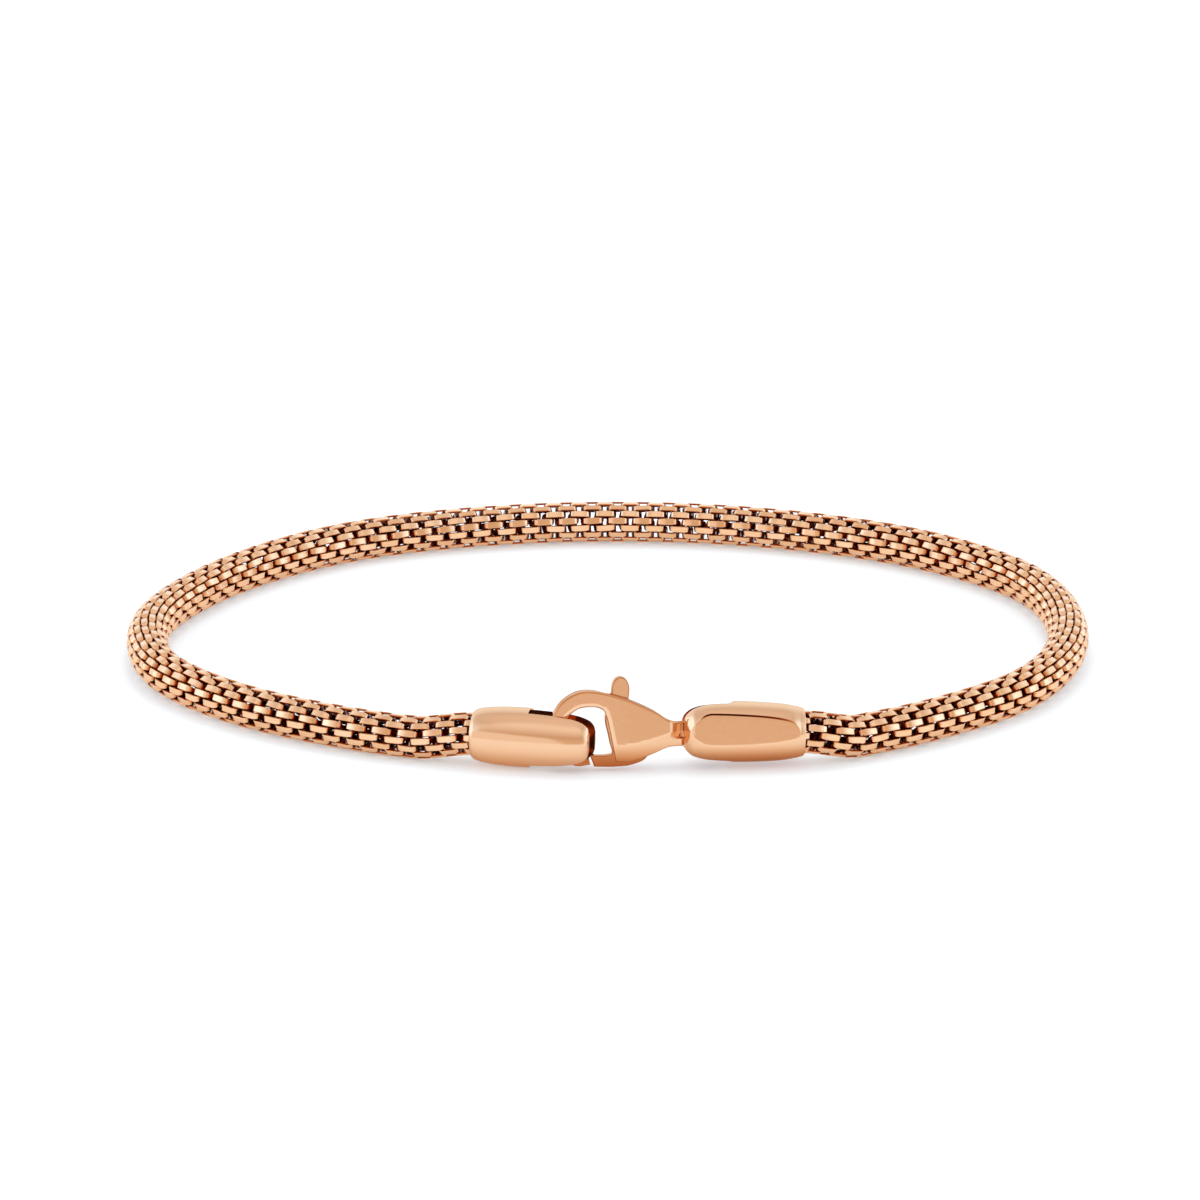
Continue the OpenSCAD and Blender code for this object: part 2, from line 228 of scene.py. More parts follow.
# The bevel along the clasp's inner edges: width, slope, and the clasp's width where it is whole
EDGE_BEVEL = 0.26
EDGE_SLOPE = 0.30
BEVEL_WHOLE = 1.4
# The hole's right edge: z and x
HOLE_EDGE = np.array([[-1.77, -6.38], [-0.57, -6.59], [0.34, -6.73], [1.25, -6.88], [1.79, -7.06]])
SOFT_CREASE = 0.03
# Radius of its rounded edges, and the most of the clasp's width that each takes
BODY_ROUND = 0.14
ROUND_MOST = 0.42
# How much lower the rear half is, and the clasp's height where that begins and what it takes
REAR_INSET = 0.12
REAR_FROM = 1.0
REAR_RISE = 0.6
# Spacing of the lines across the hook and the body, and points round the clasp's edge, across its
# face, round the lever's edge and round the pin's hole
HOOK_STEP = 0.22
BODY_STEP = 0.08
BEND_POINTS = 6
FACE_POINTS = 26
LEVER_POINTS = 5
CIRCLE_POINTS = 40

# The lever's outline and the pocket for it: shares of the reach and the height, and for the
# trigger of its own height above the body's top
BODY_TOP = 0.490
LEVER_TRIGGER = np.array([
    [-0.601, 0.28], [-0.590, 0.70], [-0.572, 0.90], [-0.538, 1], [-0.504, 0.90], [-0.486, 0.67],
    [-0.490, 0.03]])
LEVER_BACK = np.array([
    [-0.440, 0.230], [-0.362, 0.130], [-0.345, 0], [-0.356, -0.180], [-0.396, -0.317],
    [-0.482, -0.390], [-0.601, -0.408], [-0.728, -0.394]])
LEVER_FRONT = np.array([
    [-0.752, -0.237], [-0.650, -0.247], [-0.612, -0.235], [-0.622, -0.10], [-0.634, 0.05],
    [-0.647, 0.20], [-0.641, 0.32], [-0.617, 0.400]])
POCKET = np.array([
    [-0.70, -0.70], [-0.70, 0.30], [-0.612, 0.42], [-0.612, 1.2], [-0.405, 1.2], [-0.315, 0.25],
    [-0.290, -0.05], [-0.290, -0.70]])
# Spacing of the points on the trigger and on the rest of the lever
TRIGGER_STEP = 0.15
LEVER_STEP = 0.3


# Curves and frames

def unit(v):
    """Vectors along the last axis, each divided by its length."""
    return v / np.linalg.norm(v, axis=-1, keepdims=True)


def curve(points, gap, first=None, last=None):
    """Smooth curve through points: cubic Hermite stretches whose inner slopes are the two
    neighbouring chords' directions weighted by the other chord's length."""
    chord = np.diff(points, axis=0)
    length = np.linalg.norm(chord, axis=1)[:, None]
    slope = np.empty_like(points, dtype=float)
    before, after = length[:-1], length[1:]
    slope[1:-1] = (chord[:-1] * after / before + chord[1:] * before / after) / (before + after)
    slope[0] = unit(chord[0]) if first is None else first
    slope[-1] = unit(chord[-1]) if last is None else last
    steps = np.ceil(length[:, 0] / gap).astype(int)
    i = np.repeat(np.arange(len(chord)), steps)
    t = (np.arange(len(i)) - np.repeat(np.cumsum(steps) - steps, steps)) / steps[i]
    t, h = t[:, None], length[i]
    body = ((2 * t**3 - 3 * t**2 + 1) * points[i] + (t**3 - 2 * t**2 + t) * h * slope[i]
            + (3 * t**2 - 2 * t**3) * points[i + 1] + (t**3 - t**2) * h * slope[i + 1])
    return np.vstack([body, points[-1:]])


def runs(points):
    """Distance run along a curve at each of its points."""
    return np.r_[0, np.cumsum(np.linalg.norm(np.diff(points, axis=0), axis=1))]


def smooth_table(table, x):
    """Second column of a table at x, by a smooth curve through its rows."""
    dense = curve(table.astype(float), TABLE_STEP)
    return np.interp(x, dense[:, 0], dense[:, 1])


def ease(x):
    """Runs smoothly from 0 to 1 as x does."""
    t = np.clip(x, 0, 1)
    return t * t * (3 - 2 * t)


def turned(v, yaw, droop):
    """A turn about Z, after the lean back about X, after a droop about Y, of vectors v."""
    yaw, back, droop = np.radians([yaw, LEAN, droop])
    x, y, z = np.moveaxis(np.asarray(v, dtype=float), -1, 0)
    x, z = x * math.cos(droop) + z * math.sin(droop), -x * math.sin(droop) + z * math.cos(droop)
    y, z = y * math.cos(back) + z * math.sin(back), -y * math.sin(back) + z * math.cos(back)
    x, y = x * math.cos(yaw) - y * math.sin(yaw), x * math.sin(yaw) + y * math.cos(yaw)
    return np.stack([x, y, z], axis=-1)


def catch_pin_place():
    """Where the catch pin lies: in the clasp's plane, at the height of the catch cap's axis."""
    left = turned([CATCH_PIN_SHARE * CLASP_REACH, 0, 0], CLASP_YAW, HOOK_DROOP)
    up = turned([0, 0, 1], CLASP_YAW, HOOK_DROOP)
    axis_z = CAP_R * CATCH_PROFILE[:, 1].max()
    return CLASP_PIN + left + up * (axis_z - CLASP_PIN[2] - left[2]) / up[2]


CATCH_ALONG = turned([1, 0, 0], CATCH_YAW, 0)
CLASP_ALONG = turned([1, 0, 0], CLASP_YAW, CAP_DROOP)
CATCH_MOUTH = catch_pin_place() - CATCH_ALONG * (CAP_LEN - CATCH_PIN_INSET)
CLASP_MOUTH = CLASP_PIN + CLASP_ALONG * (CAP_LEN - CLASP_PIN_INSET)


def in_catch_cap(v):
    """From the catch cap's own frame, mouth at the origin and slotted end along +X, to the part."""
    return CATCH_MOUTH + turned(v, CATCH_YAW, 0)


def in_clasp_cap(v):
    """From the clasp cap's own frame, which is mirrored, to the part."""
    return CLASP_MOUTH + turned(np.asarray(v) * [-1, 1, 1], CLASP_YAW, CAP_DROOP)


def in_clasp(v):
    """From the clasp's own frame, pin at the origin and hook along -X, to the part."""
    return CLASP_PIN + turned(v, CLASP_YAW, HOOK_DROOP)


def rope_line():
    """The rope's centre line: the smooth route in plan, raised near its two ends to the caps'
    axes, with the stretch inside each socket added."""
    half = np.array([LOOP_W / 2 - TUBE_R, LOOP_D / 2 - TUBE_R])
    points = np.vstack([CATCH_MOUTH[:2], LOOP_POINTS * half, CLASP_MOUTH[:2]])
    plan = curve(points, ROUTE_STEP, unit(-CATCH_ALONG[:2]), unit(-CLASP_ALONG[:2]))
    run = runs(plan)
    height = (TUBE_R + (CATCH_MOUTH[2] - TUBE_R) * (1 - ease(run / DROP_LEN))
              + (CLASP_MOUTH[2] - TUBE_R) * (1 - ease((run[-1] - run) / DROP_LEN)))
    line = np.c_[plan, height]
    first, last = line[0] + CATCH_ALONG * SOCKET_DEPTH, line[-1] - CLASP_ALONG * SOCKET_DEPTH
    return np.vstack([first, line, last])


# Meshes

def grid_faces(rows, cols, wrap_cols=False, wrap_rows=False, start=0):
    """Quads of a grid whose point (i, j) is number start + i * cols + j."""
    i = np.arange(rows if wrap_rows else rows - 1)[:, None]
    j = np.arange(cols if wrap_cols else cols - 1)[None, :]
    a = i * cols + j
    b = i * cols + (j + 1) % cols
    c = (i + 1) % rows * cols + (j + 1) % cols
    d = (i + 1) % rows * cols + j
    return np.stack([a, b, c, d], axis=-1).reshape(-1, 4) + start


class Shell:
    """Points and faces gathered from several grids, welded into one closed mesh. Each face has a
    share of painted shade (on a few faces a painted reflection), which darkens the metal's colour."""

    def __init__(self):
        self.points, self.faces, self.hollow, self.count = [], [], [], 0

    def grid(self, points, wrap=False, hollow=0.0):
        """Adds a grid of points, closed to a tube if its columns wrap."""
        rows, cols = points.shape[:2]
        quads = grid_faces(rows, cols, wrap_cols=wrap, start=self.count)
        self.points.append(points.reshape(-1, 3))
        self.faces += quads.tolist()
        shares = np.broadcast_to(hollow, (rows - 1, cols if wrap else cols - 1))
        self.hollow += shares.ravel().tolist()
        self.count += rows * cols

    def cap(self, points, flip=False):
        """Adds one flat face with these points as its corners."""
        face = list(range(self.count, self.count + len(points)))
        self.points.append(points)
        self.faces.append(face[::-1] if flip else face)
        self.hollow.append(0.0)
        self.count += len(points)

    def mesh(self, name, placed):
        """The mesh, with its points moved by placed and then to metres, doubles merged."""
        made = bpy.data.meshes.new(name)
        made.from_pydata((placed(np.vstack(self.points)) * MM).tolist(), [], self.faces)
        # Each face's share of painted shade, read by the material
        made.attributes.new("hollow", "FLOAT", "FACE").data.foreach_set("value", self.hollow)
        return tidied(made, WELD)


def new_object(name, data):
    """A new object in the scene."""
    made = bpy.data.objects.new(name, data)
    bpy.context.scene.collection.objects.link(made)
    return made


def tidied(mesh, weld=0.0):
    """The mesh with doubles merged, thin faces gone and all normals turned outwards."""
    shape = bmesh.new()
    shape.from_mesh(mesh)
    if weld:
        bmesh.ops.remove_doubles(shape, verts=shape.verts, dist=weld * MM)
        bmesh.ops.dissolve_degenerate(shape, edges=shape.edges, dist=weld * MM)
    bmesh.ops.recalc_face_normals(shape, faces=shape.faces)
    shape.to_mesh(mesh)
    shape.free()
    return mesh


def add_piece(mesh, body, nodes, material, sharp=SHARP, bevel=0.0):
    """A finished piece: smooth shaded but for edges sharper than the angle, riding on its body."""
    mesh.polygons.foreach_set("use_smooth", np.ones(len(mesh.polygons), dtype=bool))
    mesh.set_sharp_from_angle(angle=math.radians(sharp))
    mesh.materials.append(material)
    piece = new_object(mesh.name, mesh)
    if bevel:
        rounding = piece.modifiers.new("soft_edges", "BEVEL")
        rounding.width = bevel * MM
        rounding.segments = 2
        rounding.limit_method = "ANGLE"
        rounding.angle_limit = math.radians(sharp)
        rounding.harden_normals = True
    even = piece.modifiers.new("even_faces", "WEIGHTED_NORMAL")
    even.keep_sharp = True
    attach(piece, body)
    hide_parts(*nodes)


# The woven tube

def rope_frames(line, distance):
    """Centre, direction, side and up of the rope at each distance along it. Side is the direction
    crossed with the vertical, and up is side crossed with the direction."""
    run = runs(line)
    ahead = unit(np.gradient(line, run, axis=0, edge_order=1))
    centre = np.stack([np.interp(distance, run, line[:, k]) for k in range(3)], axis=-1)
    along = unit(np.stack([np.interp(distance, run, ahead[:, k]) for k in range(3)], axis=-1))
    side = unit(np.cross(along, [0.0, 0.0, 1.0]))
    return centre, along, side, np.cross(side, along)


def weave_rows(line, first, last, rows_in_all, seed):
    """Rows first to last of the weave. Each row is one closed wire that runs as a meander round
    the rope: along an arched strip, sideways on an inner bar, back along the next strip. A row is
    stiff, so all of it uses the rope's frame at its own middle: a point of the wire is centre +
    distance * direction + radius * (cos, sin) of its turn on side and up, plus the section's two
    shares along the wire's own width and thickness directions. The points and faces come with each
    point's two grain coordinates, its link's tone and its share of painted shade."""
    random = np.random.default_rng(seed)
    length = runs(line)[-1]
    gap = length / rows_in_all
    row = np.arange(first, last)[:, None, None]
    strip = np.arange(COLUMNS // 2)[None, :, None]
    sign = np.where(strip % 2 == 0, 1.0, -1.0)
    station = LINK[None, None, :, :]
    shift, tilt, shade = random.normal(0, 1, (3, last - first, COLUMNS // 2, 1))
    middle = (row[:, 0, 0] + 0.5) * gap
    centre, along, side, up = (v[:, None, None, :] for v in rope_frames(line, middle))
    reach = sign * station[..., 0]
    share = (middle / length)[:, None, None]
    turn = (2 * strip + (row + 1) % 2 + station[..., 1]) * 360 / COLUMNS + LINK_TILT * tilt * reach
    turn = np.radians(turn + np.interp(share, TWIST[:, 0], TWIST[:, 1]))
    reach = reach + LINK_SHIFT * shift + np.interp(share, SLIP[:, 0], SLIP[:, 1]) * np.cos(turn)
    out = np.cos(turn)[..., None] * side + np.sin(turn)[..., None] * up
    around = -np.sin(turn)[..., None] * side + np.cos(turn)[..., None] * up
    fold, swing = np.radians(station[..., 3:4]), np.radians(station[..., 4:5])
    sign = sign[..., None]
    wide = sign * (np.cos(swing) * around + np.sin(swing) * out)
    thick = np.cos(fold) * out + sign * np.sin(fold) * along
    spine = centre + reach[..., None] * along + station[..., 2:3] * out
    corner = WIRE[None, None, None, :, :]
    points = (spine[..., None, :] + corner[..., 0:1] * (station[..., 5:6] / 2 * wide)[..., None, :]
              + corner[..., 1:2] * (station[..., 6:7] / 2 * thick)[..., None, :])
    rows, stations, sides = last - first, COLUMNS // 2 * len(LINK), len(WIRE)
    loop = grid_faces(stations, sides, wrap_cols=True, wrap_rows=True)
    faces = (loop[None] + np.arange(rows)[:, None, None] * stations * sides).reshape(-1, 4)
    step = np.r_[0, np.cumsum(np.linalg.norm(np.diff(LINK[:, :3] * [1, 0.5, 1], axis=0), axis=1))]
    # The last of these is each point's share of painted shade
    values = ((step + GRAIN_STRIP * strip + GRAIN_ROW * row)[..., None],
              np.linspace(0, GRAIN_ROUND, sides, endpoint=False), shade[..., None],
              np.maximum(LINK[:, 7:8], WIRE_PAINTED_SHADE[None, :]))
    return points.reshape(-1, 3), faces, *(
        np.broadcast_to(value, points.shape[:-1]).astype(np.float32).ravel() for value in values)


def woven_piece(name, line, first, last, rows_in_all, seed, material):
    """One stretch of the woven tube as a mesh, with its wire coordinates and each link's tone."""
    points, faces, u, v, tone, hollow = weave_rows(line, first, last, rows_in_all, seed)
    mesh = bpy.data.meshes.new(name)
    mesh.from_pydata(points * MM, [], faces)
    corner = np.empty(len(mesh.loops), dtype=np.int32)
    mesh.loops.foreach_get("vertex_index", corner)
    layer = mesh.uv_layers.new(name="wire")
    layer.data.foreach_set("uv", np.c_[u[corner], v[corner]].ravel())
    mesh.attributes.new("tone", "FLOAT", "POINT").data.foreach_set("value", tone)
    # Each point's share of painted shade
    mesh.attributes.new("hollow", "FLOAT", "POINT").data.foreach_set("value", hollow)
    add_piece(tidied(mesh), "root", ["mesh_tube"], material, sharp=WIRE_SHARP)


# The end caps

def cap_stations(slot_start, extra):
    """Places along a cap: closer together towards its two rounded ends."""
    share = (1 - np.cos(np.linspace(0, np.pi, CAP_RINGS))) / 2
    return np.unique(np.r_[np.round(share * CAP_LEN, 4), slot_start, np.asarray(extra) * CAP_LEN])


def cap_quarter(radius, front, edge_z, slot_half):
    """Upper quarter of a cap's cross-section at each place, from the slot's edge to the middle of
    the front: an arc from the crown to the facet's edge, a short blend, and the straight facet.
    The arc's point at angle t is (-B cos t, h + A (sin t - sin e)), where the facet's edge has the
    height h and the angle e, B is its distance from the axis and A carries the arc to the crown."""
    edge = np.arctan2(edge_z, front)
    depth = np.hypot(front, edge_z)
    rise = (radius - edge_z) / (1 - np.sin(edge))
    crown = np.arccos(slot_half / depth)
    soft = EDGE_BELOW * np.minimum(FACET_EDGE, edge_z * EDGE_MOST)
    tau = np.linspace(crown, edge + soft / depth, ARC_POINTS, axis=-1)
    arc_y = -depth[:, None] * np.cos(tau)
    arc_z = edge_z[:, None] + rise[:, None] * (np.sin(tau) - np.sin(edge)[:, None])
    start = np.stack([arc_y[:, -1], arc_z[:, -1]], axis=-1)[:, None, :]
    corner = np.stack([-front, edge_z], axis=-1)[:, None, :]
    end = np.stack([-front, edge_z - soft], axis=-1)[:, None, :]
    t = np.linspace(0, 1, BLEND_POINTS + 2)[None, 1:-1, None]
    blend = (1 - t)**2 * start + 2 * t * (1 - t) * corner + t**2 * end
    down = np.linspace(1, 0, FLAT_POINTS)[None, :] * (edge_z - soft)[:, None]
    flat = np.stack([np.broadcast_to(-front[:, None], down.shape), down], axis=-1)
    return np.concatenate([np.stack([arc_y, arc_z], axis=-1), blend, flat], axis=1)


def cap_section(x, profile, facet, slot_half):
    """Front half of a cap's cross-section at each place x, from the slot's upper edge round the
    front to its lower edge, with the radius there. Without a facet each quarter is a plain arc."""
    radius = smooth_table(profile, x / CAP_LEN) * CAP_R
    front, above, below = radius, np.zeros_like(x), np.zeros_like(x)
    if facet is not None:
        table = curve(facet, TABLE_STEP)
        front = np.minimum(radius, FACET_Y)
        above, below = (np.interp(x / CAP_LEN, table[:, 0], table[:, k], left=0.0, right=0.0)
                        for k in (1, 2))
    upper = cap_quarter(radius, front, above, slot_half)
    lower = cap_quarter(radius, front, below, slot_half) * [1, -1]
    return np.concatenate([upper, lower[:, :-1][:, ::-1]], axis=1), radius


def crown_strip(section_edge, radius, y):
    """Height of the crown between the two slot edges: a flat ellipse through both."""
    y_edge, z_edge = section_edge[:, 0:1], section_edge[:, 1:2]
    drop = (radius[:, None] - z_edge) / y_edge**2
    return radius[:, None] - drop * y[None, :]**2


def end_flat(points):
    """Points of a cheek, pressed back to the small flat on its end, and which of them were."""
    turn = math.radians(END_FLAT_TURN)
    out = np.array([math.sin(turn), -math.cos(turn)])
    beyond = (points[..., 0] - CAP_LEN) * out[0] + points[..., 1] * out[1] - END_FLAT * math.cos(turn)
    pressed = points.copy()
    pressed[..., :2] -= np.maximum(beyond, 0)[..., None] * out
    return pressed, beyond > 0


def painted_line(x, cols, facet):
    """How dark each face of a cap's front is painted: only the strip at the facet's upper edge is, a
    painted reflection.
    """
    dark = np.zeros((len(x) - 1, cols))
    if facet is not None:
        middle = (x[1:] + x[:-1]) / 2 / CAP_LEN
        strip = slice(ARC_POINTS - 1, ARC_POINTS + BLEND_POINTS - 1)
        dark[:, strip] = np.interp(middle, FACET_PAINTED_LINE[:, 0], FACET_PAINTED_LINE[:, 1])[:, None]
    return dark


def cap_shell(profile, slot_w, slot_len, facet=None, rear_drop=0.0):
    """A whole cap as one closed shell: a sheath from the slot's closed end to the mouth, with the
    socket's bore and bottom, the slot's floor, and two cheeks with flat inner walls and ends."""
    slot_half = slot_w / 2
    slot_start = CAP_LEN - slot_len
    tips = [] if facet is None else [facet[0, 0], facet[-1, 0]]
    x = cap_stations(slot_start, tips)
    closed, at_cheek = x <= slot_start + SAME_PLACE, x >= slot_start - SAME_PLACE
    front, radius = cap_section(x, profile, facet, slot_half)
    rear = cap_section(x, profile, None, slot_half)[0]
    floor_y = np.linspace(-slot_half, slot_half, SLOT_STRIPS + 1)
    y = floor_y[1:-1]
    over = crown_strip(front[:, 0], radius, y)
    if facet is not None:
        edge_z = front[:, 0, 1:2]
        over = edge_z + (over - edge_z) * ease((slot_start - x) / CROWN_EASE)[:, None]
    over = np.stack([np.broadcast_to(y, over.shape), over], axis=-1)
    back = rear * [-1, 1]
    ring = np.concatenate([front, over * [1, -1], back[:, ::-1], over[:, ::-1]], axis=1)
    place = np.broadcast_to(x[:, None, None], ring.shape[:2] + (1,))
    ring = np.concatenate([place, ring], axis=-1)
    crown_z = ring[at_cheek][0, 1 - SLOT_STRIPS:][::-1, 2].copy()
    drop = ease((x - slot_start) / CROWN_EASE + 1) * rear_drop
    ring[..., 2] -= (drop[:, None] * ease(ring[..., 2] / radius[:, None])
                     * ease((ring[..., 1] + slot_half) / slot_w))
    shell = Shell()
    sheath = ring[closed][::-1]
    # The fine dark line painted along the facet's upper edge, a painted reflection
    dark = np.zeros((len(sheath) + 1, ring.shape[1]))
    n_front = front.shape[1]
    dark[:len(sheath) - 1, :n_front - 1] = painted_line(x[closed], n_front - 1, facet)[::-1]
    mouth = sheath[-1]
    away = unit(mouth[:, 1:])
    lip = np.stack([np.c_[np.full(len(mouth), at), away * r] for at, r in
                    ((-LIP_OUT, CAP_R * profile[0, 1] - LIP_OUT), (-LIP_OUT, BORE_R + BORE_CHAMFER),
                     (0.0, BORE_R), (SOCKET_DEPTH, BORE_R), (SOCKET_DEPTH, 0.0))])
    shell.grid(np.concatenate([sheath, lip[:2]]), wrap=True, hollow=dark)
    # The socket's bore is fully in painted shade
    shell.grid(lip[1:], wrap=True, hollow=1.0)
    down = np.linspace(1, -1, WALL_POINTS)
    for sense, half in ((1, front), (-1, rear)):
        outer = np.concatenate([place[:, :n_front], half], axis=-1)[at_cheek]
        dark = painted_line(x[at_cheek], n_front - 1, facet)
        if facet is not None:
            outer, flat = end_flat(outer)
            flat = flat[1:, 1:] & flat[:-1, 1:] & flat[1:, :-1] & flat[:-1, :-1]
            # The flats on the cheeks' ends get a painted reflection of the gold beside them
            dark = np.where(flat, END_FLAT_PAINTED_REFLECTION, dark)
        outer = outer * [1, sense, 1]
        reach = np.where(down > 0, outer[:, 0, 2:], -outer[:, -1, 2:])
        inner = np.stack([np.broadcast_to(x[at_cheek][:, None], reach.shape),
                          np.full(reach.shape, -slot_half * sense), reach * down], axis=-1)
        if sense < 0:
            for face in (outer, inner):
                face[..., 2] -= rear_drop * ease(face[..., 2] / radius[at_cheek][:, None])
            # The rear cheek has no painted line
            dark = 0.0
        shell.grid(outer, hollow=dark)
        # The slot's inner wall is in painted shade
        shell.grid(inner, hollow=SLOT_PAINTED_SHADE)
        shell.cap(np.concatenate([outer[-1], inner[-1][::-1][1:-1]]))
    near, far = front[at_cheek][0, :, 1], rear[at_cheek][0, :, 1]
    floor_z = down[:, None] * np.where(down[:, None] > 0, np.r_[near[0], crown_z, far[0]],
                                       np.r_[-near[-1], crown_z, -far[-1]])
    floor_z -= rear_drop * ease(floor_z / radius[at_cheek][0]) * ease((floor_y + slot_half) / slot_w)
    floor = np.stack([np.full(floor_z.shape, slot_start),
                      np.broadcast_to(floor_y, floor_z.shape), floor_z], axis=-1)
    # The slot's floor is in painted shade too
    shell.grid(floor, hollow=SLOT_PAINTED_SHADE)
    return shell


# The clasp

def clasp_size(table):
    """Shares of the clasp's reach and height made into millimetres."""
    return table * np.tile([CLASP_REACH, CLASP_H], table.shape[1] // 2)


def softened(x):
    """x above nought and nought below it, with a soft bend between."""
    return (np.sqrt(x**2 + SOFT_CREASE**2) + x) / 2


def clasp_loops():
    """The clasp's body as loops, one for each line across it. A loop runs along the front from the
    inner to the outer edge and back behind, with a quarter round of BODY_ROUND at each edge. The
    thickness follows the plan, and below the crease the front falls back."""
    hook = curve(clasp_size(SPOKES), HOOK_STEP)
    body = curve(clasp_size(SPOKES_BODY), BODY_STEP)
    lines = np.vstack([hook[:-1], body])
    inner, outer = lines[:, :2], lines[:, 2:]
    width = np.linalg.norm(outer - inner, axis=1)
    bend = np.radians(np.linspace(90, 0, BEND_POINTS))
    flat = np.linspace(0, 1, FACE_POINTS)[1:-1]
    near = np.minimum(BODY_ROUND, ROUND_MOST * width)[:, None]
    first = near * (1 - np.sin(bend))
    middle = near + flat * (width[:, None] - 2 * near)
    offset = np.concatenate([first, middle, width[:, None] - first[:, ::-1]], axis=1)
    drop = np.concatenate([1 - np.cos(bend), np.zeros_like(flat), (1 - np.cos(bend))[::-1]])
    share = offset / width[:, None]
    plane = inner[:, None] + share[..., None] * (outer - inner)[:, None]
    x, z = plane[..., 0], plane[..., 1]
    size = [CLASP_REACH, CLASP_T / 2]
    body = smooth_table(CLASP_PLAN * size, x)
    recess = ease((z - RECESS_FROM) / RECESS_RISE)
    neck = (np.interp(x, *(NECK_RECESS * size).T) * recess
            + np.interp(x, *(NECK_BELOW * size).T) * (1 - recess))
    half = np.where(x < CLASP_PLAN[-1, 0] * CLASP_REACH, body, neck)
    below = np.interp(x, CREASE[:, 0], CREASE[:, 1]) - z
    begun, ended = (ease((x - start) / length) for start, length in (CREASE_START, CREASE_END))
    beside = np.maximum(x - np.interp(z, HOLE_EDGE[:, 0], HOLE_EDGE[:, 1]), 0)
    beside = np.hypot(beside, np.maximum(z - HOLE_EDGE[-1, 0], 0))
    beside = np.where(inner[:, 0:1] < HOLE_EDGE[-1, 1], offset, beside)
    whole = np.minimum(1, width / BEVEL_WHOLE)[:, None]
    fall = np.maximum(softened(below) * CREASE_SLOPE * (begun * (1 - ended)),
                      softened(EDGE_BEVEL - beside) * EDGE_SLOPE * whole)
    face = half - fall - BODY_ROUND * drop
    front = np.stack([x, -face, z], axis=-1)
    inset = REAR_INSET / width * ease((lines[:, 3] - lines[:, 1] - REAR_FROM) / REAR_RISE)
    plane = inner[:, None] + (share * (1 - inset[:, None]))[..., None] * (outer - inner)[:, None]
    back = np.stack([plane[..., 0], face, plane[..., 1]], axis=-1)
    return np.concatenate([front, back[:, ::-1]], axis=1)


def cutter(name, points, faces, placed):
    """A solid that another piece is cut by."""
    mesh = bpy.data.meshes.new(name)
    mesh.from_pydata((placed(points) * MM).tolist(), [], faces)
    # The cut walls are in the slots' painted shade
    mesh.attributes.new("hollow", "FLOAT", "FACE").data.foreach_set(
        "value", [SLOT_PAINTED_SHADE] * len(faces))
    return new_object(name, tidied(mesh))


def prism(outline, half_depth):
    """Points and faces of an outline in x and z, drawn out along y to both sides."""
    n = len(outline)
    points = np.concatenate([np.c_[outline[:, 0], np.full(n, y), outline[:, 1]]
                             for y in (-half_depth, half_depth)])
    sides = grid_faces(2, n, wrap_cols=True).tolist()
    return points, sides + [list(range(n)), list(range(n, 2 * n))[::-1]]


def cut(mesh, *cutters):
    """The mesh with the cutters' solids taken away."""
    target = new_object("to_cut", mesh)
    for tool in cutters:
        taken = target.modifiers.new(tool.name, "BOOLEAN")
        taken.operation = "DIFFERENCE"
        taken.solver = "EXACT"
        taken.object = tool
    graph = bpy.context.evaluated_depsgraph_get()
    done = bpy.data.meshes.new_from_object(target.evaluated_get(graph))
    name = mesh.name
    for made in (target, *cutters):
        uncut = made.data
        bpy.data.objects.remove(made, do_unlink=True)
        bpy.data.meshes.remove(uncut)
    done.name = name
    return done


def circle(radius):
    """Points round a circle in x and z, with its centre at the origin."""
    t = np.linspace(0, 2 * np.pi, CIRCLE_POINTS, endpoint=False)
    return radius * np.c_[np.cos(t), np.sin(t)]


def clasp_mesh():
    """The hook, body and tail in one, with the lever's pocket and the pin's hole cut out."""
    loops = clasp_loops()
    shell = Shell()
    # Painted shade on the outer rim, in the neck's recess and along the inner edges
    dark = np.zeros((len(loops) - 1, loops.shape[1]))
    half_way = loops.shape[1] // 2
    dark[:, half_way - BEND_POINTS:half_way] = RIM_PAINTED_SHADE
    middle = (loops[1:, :-1] + loops[:-1, 1:]) / 2
    recess = (middle[..., 0] > NECK_RECESS[1, 0] * CLASP_REACH) & (middle[..., 2] > RECESS_FROM)
    dark[:, :-1][recess] = RECESS_PAINTED_SHADE
    dark[:, [0, 1, -2]] = EDGE_PAINTED_SHADE
    dark[:, -1] = EDGE_PAINTED_SHADE / 2
    shell.grid(loops, wrap=True, hollow=dark)
    shell.cap(loops[0])
    shell.cap(loops[-1], flip=True)
    body = shell.mesh("clasp_body_polished", in_clasp)
    pocket = cutter("pocket", *prism(clasp_size(POCKET), LEVER_T / 2 + LEVER_GAP), in_clasp)
    pin_hole = cutter("pin_hole", *prism(circle(PIN_HOLE_R), PIN_HOLE_HALF), in_clasp)
    return cut(body, pocket, pin_hole)


